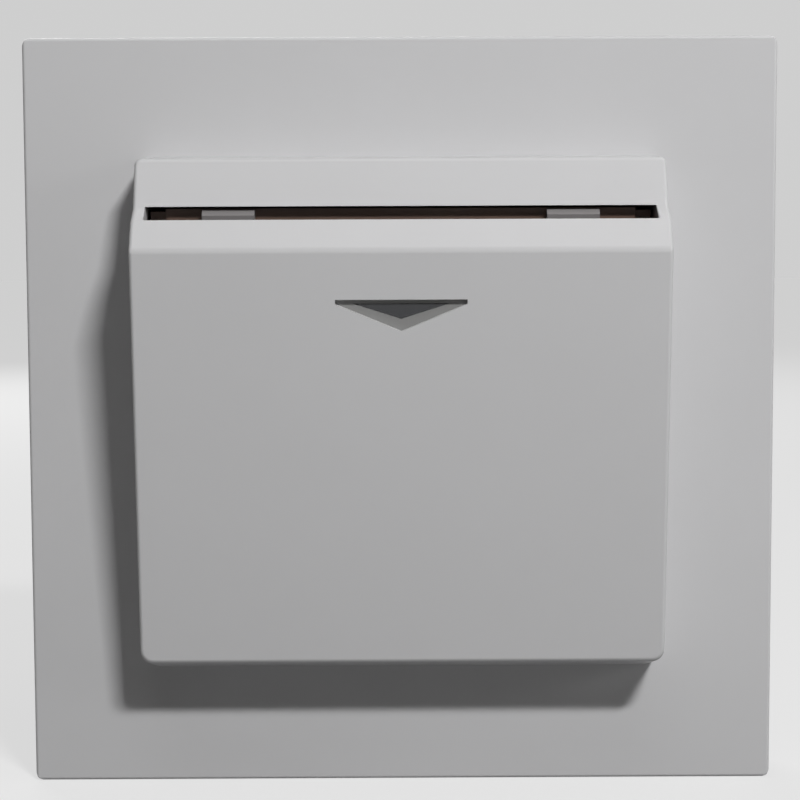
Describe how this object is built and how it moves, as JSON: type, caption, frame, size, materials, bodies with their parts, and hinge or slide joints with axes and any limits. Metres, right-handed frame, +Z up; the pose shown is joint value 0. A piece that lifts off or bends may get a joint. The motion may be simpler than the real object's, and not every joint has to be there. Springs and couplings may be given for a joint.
{
  "type": "hotel key card switch",
  "caption": "Square wall switch with a raised card holder: a slot at the top, a tilted pocket front with an arrow window, and a sprung lever that works a microswitch when a card is in.",
  "frame": {"origin": "midway between the two wall screws, on the wall face", "axes": "+X to the right as seen from the room, +Y into the wall, +Z up"},
  "size_m": [0.086, 0.0406, 0.086],
  "materials": {
    "white_frame": "satin moulded white",
    "white_holder": "satin moulded white",
    "smoked_lens": "polished smoked acrylic",
    "pale_guide": "moulded pale grey",
    "dark_deck": "fine spark-eroded texture",
    "zinc_steel": "zinc-plated sheet",
    "housing_plastic": "moulded, lightly textured",
    "screw_steel": "zinc-plated",
    "green_board": "solder resist",
    "led_resin": "clear resin",
    "clear_pipe": "clear polished",
    "switch_black": "moulded",
    "plunger_red": "moulded",
    "brass": "machined",
    "lever_ivory": "natural acetal",
    "spring_steel": "drawn wire",
    "relay_blue": "moulded",
    "film_yellow": "potted box",
    "can_sleeve": "shrink sleeve",
    "resistor_tan": "lacquered",
    "terminal_white": "moulded"
  },
  "bodies": {
    "root": {"surround_frame": "white_frame", "card_holder": "white_holder", "arrow_lens": "smoked_lens", "guide_rails": "pale_guide", "mechanism_deck": "dark_deck", "mounting_yoke": "zinc_steel", "rear_housing": "housing_plastic", "housing_screws": "screw_steel", "circuit_board": "green_board", "indicator_led": "led_resin", "light_pipe": "clear_pipe", "microswitch_case": "switch_black", "microswitch_terminals": "brass", "lever_pin": "screw_steel", "lever_spring": "spring_steel", "relay": "relay_blue", "film_capacitor": "film_yellow", "electrolytic_capacitor": "can_sleeve", "resistors": "resistor_tan", "rectifier_diodes": "switch_black", "timer_chip": "switch_black", "terminal_block": "terminal_white", "terminal_clamps": "brass", "terminal_screws": "screw_steel"},
    "lever": {"card_lever": "lever_ivory"},
    "plunger": {"microswitch_plunger": "plunger_red"}
  },
  "joints": [
    {"name": "lever_swing", "type": "hinge", "parent": "root", "child": "lever", "pos_m": [0, -0.00903, 0.004], "axis": [1, 0, 0], "range_deg": [0, 6], "stiffness_Nm_per_rad": 0.002, "springref_deg": -11.46, "deforming": ["lever_spring"]},
    {"name": "plunger_travel", "type": "slide", "parent": "root", "child": "plunger", "axis": [0, 1, 0], "range_m": [0, 0.0011]}
  ],
  "couplings": [
    {"joint": "plunger_travel", "follows": "lever_swing", "m_per_rad": 0.01}
  ]
}
